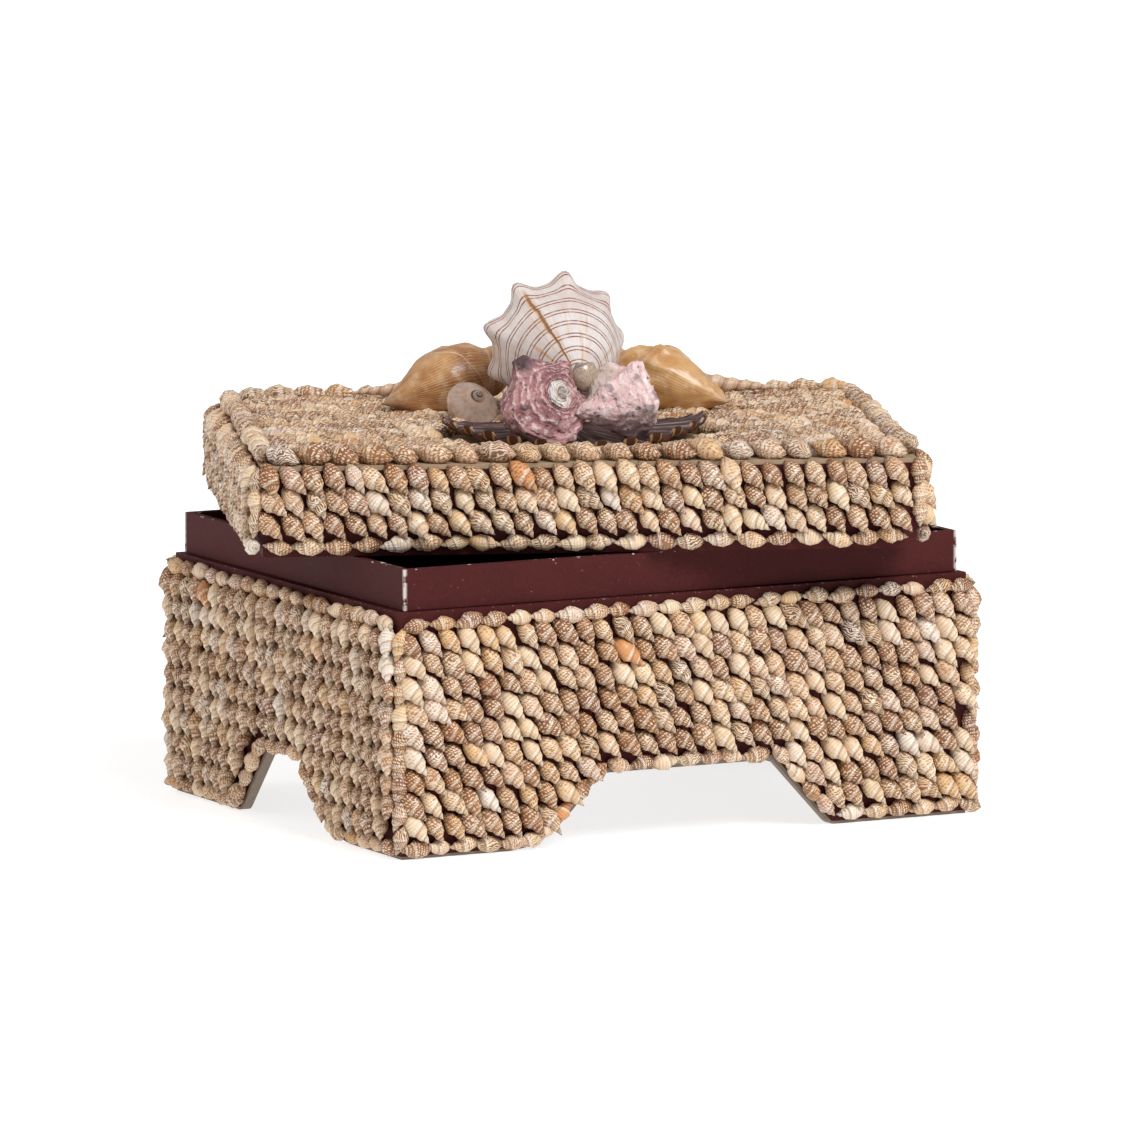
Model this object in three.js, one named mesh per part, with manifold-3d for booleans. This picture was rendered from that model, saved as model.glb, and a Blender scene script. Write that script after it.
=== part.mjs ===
// A keepsake box on bracket feet, made of boards covered with dark red paper and clad with rows of small
// sea shells. A collar stands up inside the rim, and the loose lid lies askew on it, with larger shells
// glued in the middle of its top. Sizes are in millimetres: X runs along the front, Y to the back, Z up.
import * as THREE from "three";
import { mergeVertices } from "three/addons/utils/BufferGeometryUtils.js";
import Module from "manifold-3d";

const wasm = await Module();
wasm.setup();

const GAP = 0.3; // left between two pieces that touch

// The case: four walls on bracket feet, and a floor above the arches between the feet. The arches are
// given as seen from the front and from the left. The foot at the front left corner is well rounded.
const CASE = { width: 244, depth: 195, height: 94, wall: 4, floorBottom: 31, floorTop: 35 };
const ARCH_HEIGHT = 27;
const FRONT_ARCH = { top: 74, bottom: 124, leftRound: 14, rightRound: 2 };
const BACK_ARCH = { top: 134, bottom: 184, leftRound: 2, rightRound: 2 };
const SIDE_ARCH = { top: 32, bottom: 80, leftRound: 2, rightRound: 14 };

// The collar: an upright lip set in from the case's rim, with a thinner lining below it.
const COLLAR = { top: 110, inset: 2.7, thickness: 2.8 };

// The lid: a shallow upturned tray, turned on the collar. The base's middle lies off the lid's.
const LID = { width: 250, depth: 196, height: 34.5, wall: 2.7, top: 4 };
const LID_TURN = THREE.MathUtils.degToRad(-21.6);
const BASE_OFFSET = new THREE.Vector3(-0.5, -4.5, 0);

// The small shells: a cell of cladding stands for one shell, with its crest over the middle.
const CREST = 5;
const VALLEY = 2.8;
const TOP_CREST = 4.2;
const TOP_VALLEY = 2.2;
const BARE_EDGE = 1; // board left bare along the lower edges
const BARE_RIM = 2; // board left bare below the case's rim
const EDGING = { height: 7.5, pitch: 10 };
const COLUMN_PITCH = 8.5;
const LEAN = 0.5; // how far the columns of shells lean over, as a share of the row's height

const RED_PAPER = { color: "#4c2326", roughness: 0.75 };
const LID_PAPER = { color: "#54282a", roughness: 0.75 };
const SMALL_SHELLS = { color: "#b79c7c", roughness: 0.55 };

// Solids and meshes

function solidOf(geometry) {
  const bare = geometry.clone();
  bare.deleteAttribute("normal");
  bare.deleteAttribute("uv");
  const merged = mergeVertices(bare, 1e-4);
  const vertProperties = new Float32Array(merged.attributes.position.array);
  const triVerts = new Uint32Array(merged.index.array);
  return new wasm.Manifold(new wasm.Mesh({ numProp: 3, vertProperties, triVerts }));
}

// A closed surface that is gathered point by point.
class Surface {
  positions = [];
  index = [];

  point(x, y, z) {
    this.positions.push(x, y, z);
    return this.positions.length / 3 - 1;
  }

  // A flat face, given by its corners counter-clockwise as seen from outside.
  face(first, ...others) {
    for (let i = 1; i < others.length; i++) this.index.push(first, others[i - 1], others[i]);
  }

  solid() {
    const geometry = new THREE.BufferGeometry();
    geometry.setAttribute("position", new THREE.Float32BufferAttribute(this.positions, 3));
    geometry.setIndex(this.index);
    return solidOf(geometry);
  }
}

function meshOf(name, solid, look) {
  const cut = solid.getMesh();
  const geometry = new THREE.BufferGeometry();
  geometry.setAttribute("position", new THREE.BufferAttribute(cut.vertProperties, 3));
  geometry.setIndex(new THREE.BufferAttribute(cut.triVerts, 1));
  geometry.computeVertexNormals();
  const mesh = new THREE.Mesh(geometry, new THREE.MeshStandardMaterial({ metalness: 0, ...look }));
  mesh.name = name;
  return mesh;
}

// A block centred on X and Y that reaches from one height to another.
function block(width, depth, bottom, top) {
  const geometry = new THREE.BoxGeometry(width, depth, top - bottom);
  geometry.translate(0, 0, (bottom + top) / 2);
  return solidOf(geometry);
}

// The opening between two feet, seen square on, as a prism along Z that is centred on the wall.
function archSolid(arch, margin, length) {
  const foot = arch.bottom / 2 + margin;
  const head = arch.top / 2 + margin;
  const height = ARCH_HEIGHT + margin;
  const slope = (foot - head) / height;
  const outline = new THREE.Shape();
  outline.moveTo(-foot - arch.leftRound, -5);
  outline.lineTo(-foot - arch.leftRound, 0);
  outline.quadraticCurveTo(-foot, 0, -foot + slope * arch.leftRound, arch.leftRound);
  outline.lineTo(-head, height);
  outline.lineTo(head, height);
  outline.lineTo(foot - slope * arch.rightRound, arch.rightRound);
  outline.quadraticCurveTo(foot, 0, foot + arch.rightRound, 0);
  outline.lineTo(foot + arch.rightRound, -5);
  outline.closePath();
  const geometry = new THREE.ExtrudeGeometry(outline, { depth: length, bevelEnabled: false, curveSegments: 4 });
  geometry.translate(0, 0, -length / 2);
  return solidOf(geometry);
}

// Boards

function caseSolid() {
  const { width, depth, height, wall, floorBottom, floorTop } = CASE;
  const inside = [width - 2 * wall, depth - 2 * wall];
  return block(width, depth, 0, height)
    .subtract(block(...inside, floorTop, height + 1))
    .subtract(block(...inside, -1, floorBottom))
    .subtract(archSolid(FRONT_ARCH, 0, 4 * wall).rotate([90, 0, 0]).translate([0, -depth / 2, 0]))
    .subtract(archSolid(BACK_ARCH, 0, 4 * wall).rotate([90, 0, 0]).translate([0, depth / 2, 0]))
    .subtract(archSolid(SIDE_ARCH, 0, 2 * width).rotate([90, 0, -90]));
}

function collarSolid() {
  const { width, depth, height, wall, floorTop } = CASE;
  const inner = 2 * (COLLAR.inset + COLLAR.thickness);
  const lip = block(width - 2 * COLLAR.inset, depth - 2 * COLLAR.inset, height + GAP, COLLAR.top);
  const reach = 2 * (wall + GAP);
  const lining = block(width - reach, depth - reach, floorTop + GAP, height + 2 * GAP);
  return lip.add(lining).subtract(block(width - inner, depth - inner, 0, 2 * height));
}

function lidSolid() {
  const { width, depth, height, wall, top } = LID;
  return block(width, depth, 0, height).subtract(block(width - 2 * wall, depth - 2 * wall, -1, height - top));
}

// Cladding, each panel lying in its own X and Y with the shells standing up along Z

// Rows of cells that lean sideways, each with its crest over the middle and its corners in the valleys.
function shellRows({ left, right, bottom, top, rows, pitch, lean = 0, crest, valley }) {
  const rowHeight = (top - bottom) / rows;
  const shift = lean * rowHeight;
  const start = left - Math.max(0, rows * shift) - pitch;
  const columns = Math.ceil((right - left + rows * Math.abs(shift)) / pitch) + 2;
  const x = (i, j) => start + i * pitch + (rows - j) * shift;
  const y = (j) => bottom + j * rowHeight;
  const surface = new Surface();
  const corner = [];
  const back = [];
  for (let j = 0; j <= rows; j++) {
    corner.push([]);
    for (let i = 0; i <= columns; i++) corner[j].push(surface.point(x(i, j), y(j), valley));
    back.push([surface.point(x(0, j), y(j), GAP), surface.point(x(columns, j), y(j), GAP)]);
  }
  for (let j = 0; j < rows; j++) {
    for (let i = 0; i < columns; i++) {
      const tip = surface.point(x(i + 0.5, j + 0.5), y(j + 0.5), crest);
      const ring = [corner[j][i], corner[j][i + 1], corner[j + 1][i + 1], corner[j + 1][i]];
      ring.forEach((point, k) => surface.face(point, ring[(k + 1) % 4], tip));
    }
    surface.face(back[j][0], back[j + 1][0], back[j + 1][1], back[j][1]);
    surface.face(back[j][0], corner[j][0], corner[j + 1][0], back[j + 1][0]);
    surface.face(back[j][1], back[j + 1][1], corner[j + 1][columns], corner[j][columns]);
  }
  surface.face(back[0][0], back[0][1], ...[...corner[0]].reverse());
  surface.face(back[rows][1], back[rows][0], ...corner[rows]);
  return surface.solid();
}

// A block whose sides are square, or mitred to meet the next panel round the corner.
function mitredBlock({ left, right, bottom, top, mitres }) {
  const thickness = 2 * CREST;
  const geometry = new THREE.BoxGeometry(1, 1, 1);
  const position = geometry.attributes.position;
  const clear = GAP / Math.SQRT2;
  const edge = (side, outward, z) => (mitres.includes(side) ? outward * (z - clear) : 0);
  for (let i = 0; i < position.count; i++) {
    const z = (position.getZ(i) + 0.5) * thickness;
    const x = position.getX(i) < 0 ? left + edge("left", -1, z) : right + edge("right", 1, z);
    const y = position.getY(i) < 0 ? bottom + edge("bottom", -1, z) : top + edge("top", 1, z);
    position.setXYZ(i, x, y, z);
  }
  return solidOf(geometry);
}

function claddingSolid(panel, bands) {
  const { left, right } = panel;
  const reach = { left: left - CREST, right: right + CREST };
  const rows = bands.map((band) => shellRows({ crest: CREST, valley: VALLEY, ...reach, ...band }));
  return rows.reduce((all, band) => all.add(band)).intersect(mitredBlock(panel));
}

// One side of the case: a row of edging under the rim, eight leaning rows, and edging along the feet.
function caseCladding(width, arch, coarse) {
  const top = CASE.height - BARE_RIM;
  const foot = BARE_EDGE + EDGING.height;
  const rim = top - EDGING.height;
  const panel = { left: -width / 2, right: width / 2, bottom: BARE_EDGE, top, mitres: ["left", "right"] };
  const bands = [
    { bottom: BARE_EDGE, top: foot, rows: 1, pitch: coarse * EDGING.pitch },
    { bottom: foot, top: rim, rows: 8, pitch: coarse * COLUMN_PITCH, lean: LEAN },
    { bottom: rim, top, rows: 1, pitch: coarse * EDGING.pitch },
  ];
  return claddingSolid(panel, bands).subtract(archSolid(arch, BARE_EDGE, 4 * CREST));
}

// One side of the lid: three leaning rows over a row of edging. The ends of the lid are mitred at the
// top, where the shells lap over the arris, and the front and back stop square below a bare arris.
function lidCladding(width, mitres, coarse) {
  const overlap = mitres.includes("top") ? CREST : 0;
  const top = LID.height - (overlap ? 0 : BARE_EDGE / 2);
  const foot = BARE_EDGE + EDGING.height;
  const panel = { left: -width / 2, right: width / 2, bottom: BARE_EDGE, top, mitres };
  const bands = [
    { bottom: BARE_EDGE, top: foot, rows: 1, pitch: coarse * EDGING.pitch },
    { bottom: foot, top: top + overlap, rows: 3, pitch: coarse * COLUMN_PITCH, lean: LEAN },
  ];
  return claddingSolid(panel, bands);
}

function lidTopCladding() {
  const edge = LID.depth / 2;
  const panel = { left: -LID.width / 2, right: LID.width / 2, bottom: -edge, top: edge, mitres: ["left", "right"] };
  const border = 11;
  const low = { crest: TOP_CREST, valley: TOP_VALLEY, pitch: 13 };
  const bands = [
    { ...low, bottom: -edge, top: border - edge, rows: 1, lean: -LEAN },
    { ...low, bottom: border - edge, top: edge - border, rows: 15, lean: LEAN / 2 },
    { ...low, bottom: edge - border, top: edge, rows: 1, lean: -LEAN },
  ];
  return claddingSolid(panel, bands);
}

// Larger shells on the lid, in the lid's frame, with Z counted from its lower edge

const REST = LID.height + TOP_CREST + GAP; // the height at which they lie on the small shells

// A snail shell turned round its axis: a body that swells from its tip to the shoulder, then a spire whose
// whorls shrink step by step. Knobs stand round each shoulder.
function snailSolid({ tip, apex, radius, body, swell, whorls, shrink, knobs = 0, knob = 0, sides = 16 }) {
  const axis = new THREE.Vector3().subVectors(apex, tip);
  const length = axis.length();
  const bodyLength = body * length;
  const profile = [];
  const shoulder = [];
  const put = (r, y, isShoulder) => {
    profile.push(new THREE.Vector2(r, y));
    shoulder.push(isShoulder);
  };
  const steps = 6;
  put(0, 0, false);
  for (let k = 1; k <= steps; k++) {
    const share = k / steps;
    put(radius * Math.sin((share * Math.PI) / 2) ** swell, bodyLength * share, k === steps);
  }
  const spire = length - bodyLength;
  const total = (1 - shrink ** whorls) / (1 - shrink);
  let r = radius;
  let y = bodyLength;
  for (let w = 0; w < whorls; w++) {
    const step = (spire / total) * shrink ** w;
    put(r * shrink * 1.08, y + 0.45 * step, false);
    y += step;
    r *= shrink;
    put(w === whorls - 1 ? 0 : r, y, w < whorls - 1);
  }
  const geometry = new THREE.LatheGeometry(profile, sides);
  const position = geometry.attributes.position;
  for (let i = 0; i < position.count; i++) {
    const turn = (Math.floor(i / profile.length) / sides) * 2 * Math.PI;
    const isKnob = shoulder[i % profile.length];
    const grow = isKnob ? 1 + knob * Math.max(0, Math.cos(knobs * turn)) : 1;
    position.setX(i, position.getX(i) * grow);
    position.setZ(i, position.getZ(i) * grow);
  }
  const turned = new THREE.Quaternion().setFromUnitVectors(new THREE.Vector3(0, 1, 0), axis.normalize());
  geometry.applyQuaternion(turned);
  geometry.translate(tip.x, tip.y, tip.z);
  return solidOf(geometry);
}

// The scallop valve: a shallow ribbed dish that opens upwards, with its hinge end to the back.
const SCALLOP = { hingeY: 12, length: 87, ribs: 21, thickness: 1.8, spread: THREE.MathUtils.degToRad(78) };

// The height of the dish over the lid, lowest near the front margin.
function dishHeight(x, y) {
  return REST + 6 * (x / 49) ** 2 + 5 * ((y + 60) / 72) ** 2;
}

function scallopSolid(under, over, ribHeight) {
  const across = SCALLOP.ribs * 2;
  const along = 3;
  const surface = new Surface();
  const [low, high] = [under, over].map((rise) => {
    const grid = [];
    for (let i = 0; i <= across; i++) {
      const angle = SCALLOP.spread * ((2 * i) / across - 1);
      const reach = SCALLOP.length * Math.cos(angle) ** 0.7;
      grid.push([]);
      for (let j = 0; j <= along; j++) {
        const r = reach * (0.06 + (0.94 * j) / along);
        const x = r * Math.sin(angle);
        const y = SCALLOP.hingeY - r * Math.cos(angle);
        const rib = i % 2 ? (ribHeight * j) / along : 0;
        grid[i].push(surface.point(x, y, dishHeight(x, y) + rise + rib));
      }
    }
    return grid;
  });
  for (let i = 0; i < across; i++) {
    for (let j = 0; j < along; j++) {
      surface.face(low[i][j], low[i + 1][j], low[i + 1][j + 1], low[i][j + 1]);
      surface.face(high[i][j], high[i][j + 1], high[i + 1][j + 1], high[i + 1][j]);
    }
    surface.face(low[i][along], low[i + 1][along], high[i + 1][along], high[i][along]);
    surface.face(low[i + 1][0], low[i][0], high[i][0], high[i + 1][0]);
  }
  for (let j = 0; j < along; j++) {
    surface.face(low[0][j], low[0][j + 1], high[0][j + 1], high[0][j]);
    surface.face(low[across][j + 1], low[across][j], high[across][j], high[across][j + 1]);
  }
  return surface.solid();
}

const at = (x, y, z) => new THREE.Vector3(x, y, z);

// From the largest to the smallest: each is cut clear of those placed before it.
const SNAILS = [
  {
    name: "striped_conch",
    look: { color: "#d9cfc8", roughness: 0.45 },
    shape: {
      tip: at(10, -20, 58),
      apex: at(-6, 53, 73),
      radius: 25,
      body: 0.6,
      swell: 0.85,
      whorls: 3,
      shrink: 0.55,
      knobs: 8,
      knob: 0.1,
      sides: 24,
    },
  },
  {
    name: "golden_conch_left",
    look: { color: "#c08a4c", roughness: 0.35 },
    shape: {
      tip: at(-67, 34, 41.5),
      apex: at(-2, 62, 57),
      radius: 13.3,
      body: 0.62,
      swell: 1,
      whorls: 3,
      shrink: 0.6,
    },
  },
  {
    name: "golden_conch_right",
    look: { color: "#c8924f", roughness: 0.35 },
    shape: {
      tip: at(68, 24, 41.5),
      apex: at(8, 58, 59),
      radius: 13,
      body: 0.46,
      swell: 0.9,
      whorls: 3,
      shrink: 0.7,
      knobs: 8,
      knob: 0.08,
    },
  },
  {
    name: "pink_murex_left",
    look: { color: "#94636b", roughness: 0.8 },
    shape: {
      tip: at(-17, -30, 47),
      apex: at(-7, -63, 57),
      radius: 14.8,
      body: 0.5,
      swell: 0.6,
      whorls: 3,
      shrink: 0.6,
      knobs: 7,
      knob: 0.22,
      sides: 21,
    },
  },
  {
    name: "pink_murex_right",
    look: { color: "#b08a8f", roughness: 0.8 },
    shape: {
      tip: at(35, -36, 50),
      apex: at(4, -54, 52),
      radius: 12,
      body: 0.42,
      swell: 0.6,
      whorls: 3,
      shrink: 0.6,
      knobs: 6,
      knob: 0.25,
      sides: 18,
    },
  },
  {
    name: "moon_snail",
    look: { color: "#a08c7c", roughness: 0.25 },
    shape: {
      tip: at(-34.5, 16, 40),
      apex: at(-32, 6, 51),
      radius: 9.5,
      body: 0.55,
      swell: 0.6,
      whorls: 3,
      shrink: 0.5,
      sides: 14,
    },
  },
  {
    name: "screw_shell_left",
    look: { color: "#c3a488", roughness: 0.5 },
    shape: {
      tip: at(-32, 76, 44),
      apex: at(-78, 80, 40.5),
      radius: 4.6,
      body: 0.12,
      swell: 0.6,
      whorls: 9,
      shrink: 0.86,
      sides: 8,
    },
  },
  {
    name: "screw_shell_right",
    look: { color: "#c9aa8f", roughness: 0.5 },
    shape: {
      tip: at(42, 72, 45.5),
      apex: at(94, 78, 40.5),
      radius: 5.2,
      body: 0.12,
      swell: 0.6,
      whorls: 9,
      shrink: 0.86,
      sides: 8,
    },
  },
  {
    name: "grey_cone",
    look: { color: "#8f8578", roughness: 0.2 },
    shape: {
      tip: at(12, -32, 53),
      apex: at(1, -29, 64),
      radius: 5,
      body: 0.8,
      swell: 0.5,
      whorls: 2,
      shrink: 0.5,
      sides: 12,
    },
  },
];

// A solid swollen about its middle, so that cutting with it leaves the gap all round.
function grown(solid) {
  const { min, max } = solid.boundingBox();
  const middle = min.map((low, i) => (low + max[i]) / 2);
  const scale = min.map((low, i) => 1 + (4 * GAP) / (max[i] - low));
  return solid.translate(middle.map((m) => -m)).scale(scale).translate(middle);
}

function largestPiece(solid) {
  return solid.decompose().reduce((a, b) => (a.volume() > b.volume() ? a : b));
}

function ornaments() {
  const { thickness } = SCALLOP;
  const scallop = scallopSolid(0, thickness, 1);
  const clearance = [scallopSolid(-2 * REST, thickness + 1 + GAP, 0)];
  const aboveSmallShells = block(LID.width, LID.depth, REST, 200);
  const meshes = [meshOf("scallop", scallop, { color: "#5b3a33", roughness: 0.5 })];
  for (const { name, look, shape } of SNAILS) {
    const whole = snailSolid(shape).intersect(aboveSmallShells);
    const solid = largestPiece(clearance.reduce((rest, cutter) => rest.subtract(cutter), whole));
    clearance.push(grown(solid));
    meshes.push(meshOf(name, solid, look));
  }
  return meshes;
}

// The assembly

// A panel modelled flat, stood up against the side of a box that faces the given way.
function stand(mesh, turn, distance) {
  mesh.rotation.set(Math.PI / 2, 0, turn, "ZXY");
  mesh.position.set(distance * Math.sin(turn), -distance * Math.cos(turn), 0);
  return mesh;
}

// Seen from behind or from the right, an arch is the other way round. Those sides have plainer cladding,
// with a cell for every two shells.
const mirrored = (arch) => ({ ...arch, leftRound: arch.rightRound, rightRound: arch.leftRound });
const SIDES = [
  { name: "front", turn: 0, long: true, arch: FRONT_ARCH, coarse: 1 },
  { name: "right", turn: Math.PI / 2, long: false, arch: mirrored(SIDE_ARCH), coarse: 2 },
  { name: "back", turn: Math.PI, long: true, arch: BACK_ARCH, coarse: 2 },
  { name: "left", turn: -Math.PI / 2, long: false, arch: SIDE_ARCH, coarse: 1 },
];

const base = new THREE.Group();
base.position.copy(BASE_OFFSET);
base.add(meshOf("case", caseSolid(), RED_PAPER));
base.add(meshOf("collar", collarSolid(), RED_PAPER));

const lid = new THREE.Group();
lid.position.set(0, 0, COLLAR.top + GAP);
lid.rotation.z = LID_TURN;
lid.add(meshOf("lid_tray", lidSolid(), LID_PAPER));
lid.add(meshOf("lid_top_shells", lidTopCladding(), SMALL_SHELLS));
lid.getObjectByName("lid_top_shells").position.z = LID.height;

for (const { name, turn, long, arch, coarse } of SIDES) {
  const [caseWidth, caseDepth] = long ? [CASE.width, CASE.depth] : [CASE.depth, CASE.width];
  const onCase = meshOf(`base_${name}_shells`, caseCladding(caseWidth, arch, coarse), SMALL_SHELLS);
  base.add(stand(onCase, turn, caseDepth / 2));
  const [lidWidth, lidDepth] = long ? [LID.width, LID.depth] : [LID.depth, LID.width];
  const mitres = long ? ["left", "right"] : ["left", "right", "top"];
  const onLid = meshOf(`lid_${name}_shells`, lidCladding(lidWidth, mitres, coarse), SMALL_SHELLS);
  lid.add(stand(onLid, turn, lidDepth / 2));
}
lid.add(...ornaments());

const box = new THREE.Group();
box.add(base, lid);

export default box;
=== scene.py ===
import math
import random

import bpy
import numpy as np
from mathutils import Matrix, Vector


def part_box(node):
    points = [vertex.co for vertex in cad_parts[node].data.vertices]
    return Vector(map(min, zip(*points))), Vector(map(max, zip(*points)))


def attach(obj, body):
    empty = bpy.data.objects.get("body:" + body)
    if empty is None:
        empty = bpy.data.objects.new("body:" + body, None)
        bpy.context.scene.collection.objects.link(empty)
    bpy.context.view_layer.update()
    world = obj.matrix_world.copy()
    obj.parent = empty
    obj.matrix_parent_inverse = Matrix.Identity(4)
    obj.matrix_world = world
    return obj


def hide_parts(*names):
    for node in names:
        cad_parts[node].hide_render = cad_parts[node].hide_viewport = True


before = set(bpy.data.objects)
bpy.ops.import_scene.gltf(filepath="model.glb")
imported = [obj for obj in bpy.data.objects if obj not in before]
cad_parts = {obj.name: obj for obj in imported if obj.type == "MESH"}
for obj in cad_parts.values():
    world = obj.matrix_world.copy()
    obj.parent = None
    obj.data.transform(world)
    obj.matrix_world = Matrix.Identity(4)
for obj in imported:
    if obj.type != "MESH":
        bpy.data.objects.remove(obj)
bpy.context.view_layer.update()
bpy.ops.object.select_all(action="DESELECT")


# ---------------------------------------- the case
# Four board walls on bracket feet, with a floor above the arches, covered outside with dark red grained
# paper. The board is raw underneath and where the arches cut through it, and the paper stops short of
# that, so a thin line of bare board follows the arches and the foot.

MM = 0.001


class Signal:
    """A shader value. Arithmetic on it adds Math nodes."""

    def __init__(self, finish, socket):
        self.finish = finish
        self.socket = socket

    def __add__(self, other):
        return self.finish.math("ADD", self, other)

    def __radd__(self, other):
        return self.finish.math("ADD", other, self)

    def __sub__(self, other):
        return self.finish.math("SUBTRACT", self, other)

    def __rsub__(self, other):
        return self.finish.math("SUBTRACT", other, self)

    def __mul__(self, other):
        return self.finish.math("MULTIPLY", self, other)

    def __rmul__(self, other):
        return self.finish.math("MULTIPLY", other, self)

    def __truediv__(self, other):
        return self.finish.math("DIVIDE", self, other)

    def __abs__(self):
        return self.finish.math("ABSOLUTE", self)

    def __mod__(self, other):
        return self.finish.math("FLOORED_MODULO", self, other)

    def sin(self):
        return self.finish.math("SINE", self)

    def ease(self, low, high):
        """0 below low and 1 above high, with a soft step between."""
        settings = {"interpolation_type": "SMOOTHSTEP"}
        values = {"Value": self, "From Min": low, "From Max": high}
        return self.finish.add("ShaderNodeMapRange", settings, values, "Result")


class Finish:
    """A material with one Principled shader, and the nodes that vary it over the surface."""

    def __init__(self, name, **constants):
        self.material = bpy.data.materials.new(name)
        self.material.use_nodes = True
        self.tree = self.material.node_tree
        self.shader = self.tree.nodes["Principled BSDF"]
        for socket, value in constants.items():
            label = socket.replace("_", " ").title().replace("Ior", "IOR")
            self.shader.inputs[label].default_value = value

    def feed(self, socket, value):
        if isinstance(value, Signal):
            self.tree.links.new(value.socket, socket)
        elif isinstance(value, (tuple, list)) and socket.type == "RGBA":
            socket.default_value = (*value[:3], 1.0)
        else:
            socket.default_value = value

    def add(self, kind, settings, values, output=0):
        node = self.tree.nodes.new(kind)
        for name, value in settings.items():
            setattr(node, name, value)
        for name, value in values.items():
            self.feed(node.inputs[name], value)
        return Signal(self, node.outputs[output])

    def math(self, operation, *values):
        return self.add("ShaderNodeMath", {"operation": operation}, dict(enumerate(values)))

    def mix(self, share, first, second):
        settings = {"data_type": "RGBA"}
        return self.add("ShaderNodeMix", settings, {0: share, 6: first, 7: second}, 2)

    def position(self):
        return self.add("ShaderNodeTexCoord", {}, {}, "Object")

    def axes(self, vector):
        return [self.add("ShaderNodeSeparateXYZ", {}, {0: vector}, i) for i in range(3)]

    def vector(self, x, y):
        return self.add("ShaderNodeCombineXYZ", {}, {0: x, 1: y})

    def noise(self, vector, scale, detail=3.0, roughness=0.55):
        values = {"Vector": vector, "Scale": scale, "Detail": detail, "Roughness": roughness}
        return self.add("ShaderNodeTexNoise", {}, values, "Fac")

    def cells(self, vector, scale):
        return self.add("ShaderNodeTexVoronoi", {}, {"Vector": vector, "Scale": scale}, "Distance")

    def relief(self, height, depth):
        """A bump whose full height is depth, in metres."""
        values = {"Height": height, "Distance": depth}
        self.feed(self.shader.inputs["Normal"], self.add("ShaderNodeBump", {}, values))

    def paint(self, color=None, roughness=None):
        if color is not None:
            self.feed(self.shader.inputs["Base Color"], color)
        if roughness is not None:
            self.feed(self.shader.inputs["Roughness"], roughness)


def dress(thing, finish):
    """Puts one finish on the whole of a piece."""
    thing.data.materials.clear()
    thing.data.materials.append(finish.material)


CASE_LOW, CASE_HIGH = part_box("case")
CASE_MIDDLE = (CASE_LOW + CASE_HIGH) / 2
CASE_HALF = (CASE_HIGH - CASE_LOW) / 2
FLOOR_BOTTOM = 31 * MM
ARCH_HEIGHT = 27.0
ARCHES = {  # in millimetres: the width of each at its top and its foot, and the rounding of its two feet
    "front": {"top": 74.0, "bottom": 124.0, "rounds": (14.0, 2.0)},
    "back": {"top": 134.0, "bottom": 184.0, "rounds": (2.0, 2.0)},
    "left": {"top": 32.0, "bottom": 80.0, "rounds": (2.0, 14.0)},
    "right": {"top": 32.0, "bottom": 80.0, "rounds": (14.0, 2.0)},
}
PAPER_SKIN = 0.1 * MM  # deeper inside the walls than this, a face is inside the case
BARE_EDGE = 1.6 * MM  # how wide the bare line beside an arch is, and up to what height it goes
BARE_TOP = 28.4 * MM
BARE_FOOT = 0.9 * MM
RAGGED = 0.8 * MM  # the width over which the paper gives way to the board
RUBBED_RIM = 0.8 * MM

RED = (0.092, 0.019, 0.018)
DEEP_RED = (0.058, 0.011, 0.011)
# the lighter red below is a painted highlight on the raised threads of the paper's weave
PAINTED_THREAD_HIGHLIGHT = (0.14, 0.035, 0.032)
WORN = (0.42, 0.36, 0.33)
RAW_BOARD = (0.21, 0.165, 0.13)
PALE_BOARD = (0.29, 0.23, 0.185)
PAPER = {"roughness": 0.6, "specular_ior_level": 0.1}
PAPER_GRAIN = 0.06 * MM
THREAD = 0.55 * MM


def inset_depth(finish, middle, half):
    """How far a point lies inside the upright sides of a box, along X and along Y, and its height."""
    x, y, z = finish.axes(finish.position())
    return half.x - abs(x - middle.x), half.y - abs(y - middle.y), z


def red_paper(finish):
    """Dark red paper with a fine woven grain, whose raised threads are painted a lighter red as a painted
    highlight.
    Returns its colour, the height of its grain, and the cloudy and the fine noise that it is made with."""
    place = finish.position()
    x, y, z = finish.axes(place)
    along = ((x + y) / THREAD * math.tau).sin()
    up = (z / THREAD * math.tau).sin()
    cloud = finish.noise(place, 60.0, 4.0)
    fleck = finish.noise(place, 900.0, 2.0)
    weave = along * up * 0.25 + fleck
    color = finish.mix((cloud - 0.3) * 0.9, DEEP_RED, RED)
    # painted highlight: the raised threads of the weave are painted a lighter red
    color = finish.mix(weave.ease(0.35, 1.1) * 0.35, color, PAINTED_THREAD_HIGHLIGHT)
    return color, weave, cloud, fleck


def arch_side(wall):
    """Half the width of a wall's arch at its foot, in millimetres, and what it loses for each one up."""
    foot, head = ARCHES[wall]["bottom"] / 2, ARCHES[wall]["top"] / 2
    return foot, (foot - head) / ARCH_HEIGHT


case_finish = Finish("red_paper_case", **PAPER)
from_side_x, from_side_y, height = inset_depth(case_finish, CASE_MIDDLE, CASE_HALF)
paper_color, grain, cloud, fleck = red_paper(case_finish)
inside = from_side_x.ease(PAPER_SKIN / 2, PAPER_SKIN) * from_side_y.ease(PAPER_SKIN / 2, PAPER_SKIN)
raw = inside * (1 - height.ease(FLOOR_BOTTOM, FLOOR_BOTTOM + 0.2 * MM))
board_color = case_finish.mix(case_finish.noise(case_finish.position(), 400.0), RAW_BOARD, PALE_BOARD)
x, y, _ = case_finish.axes(case_finish.position())
front_foot, long_slope = arch_side("front")
back_foot, _ = arch_side("back")
end_foot, end_slope = arch_side("left")
far_back = y.ease(CASE_MIDDLE.y, CASE_MIDDLE.y + 1 * MM)
long_arch = front_foot * MM + far_back * ((back_foot - front_foot) * MM) - height * long_slope
end_arch = end_foot * MM - height * end_slope
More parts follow.
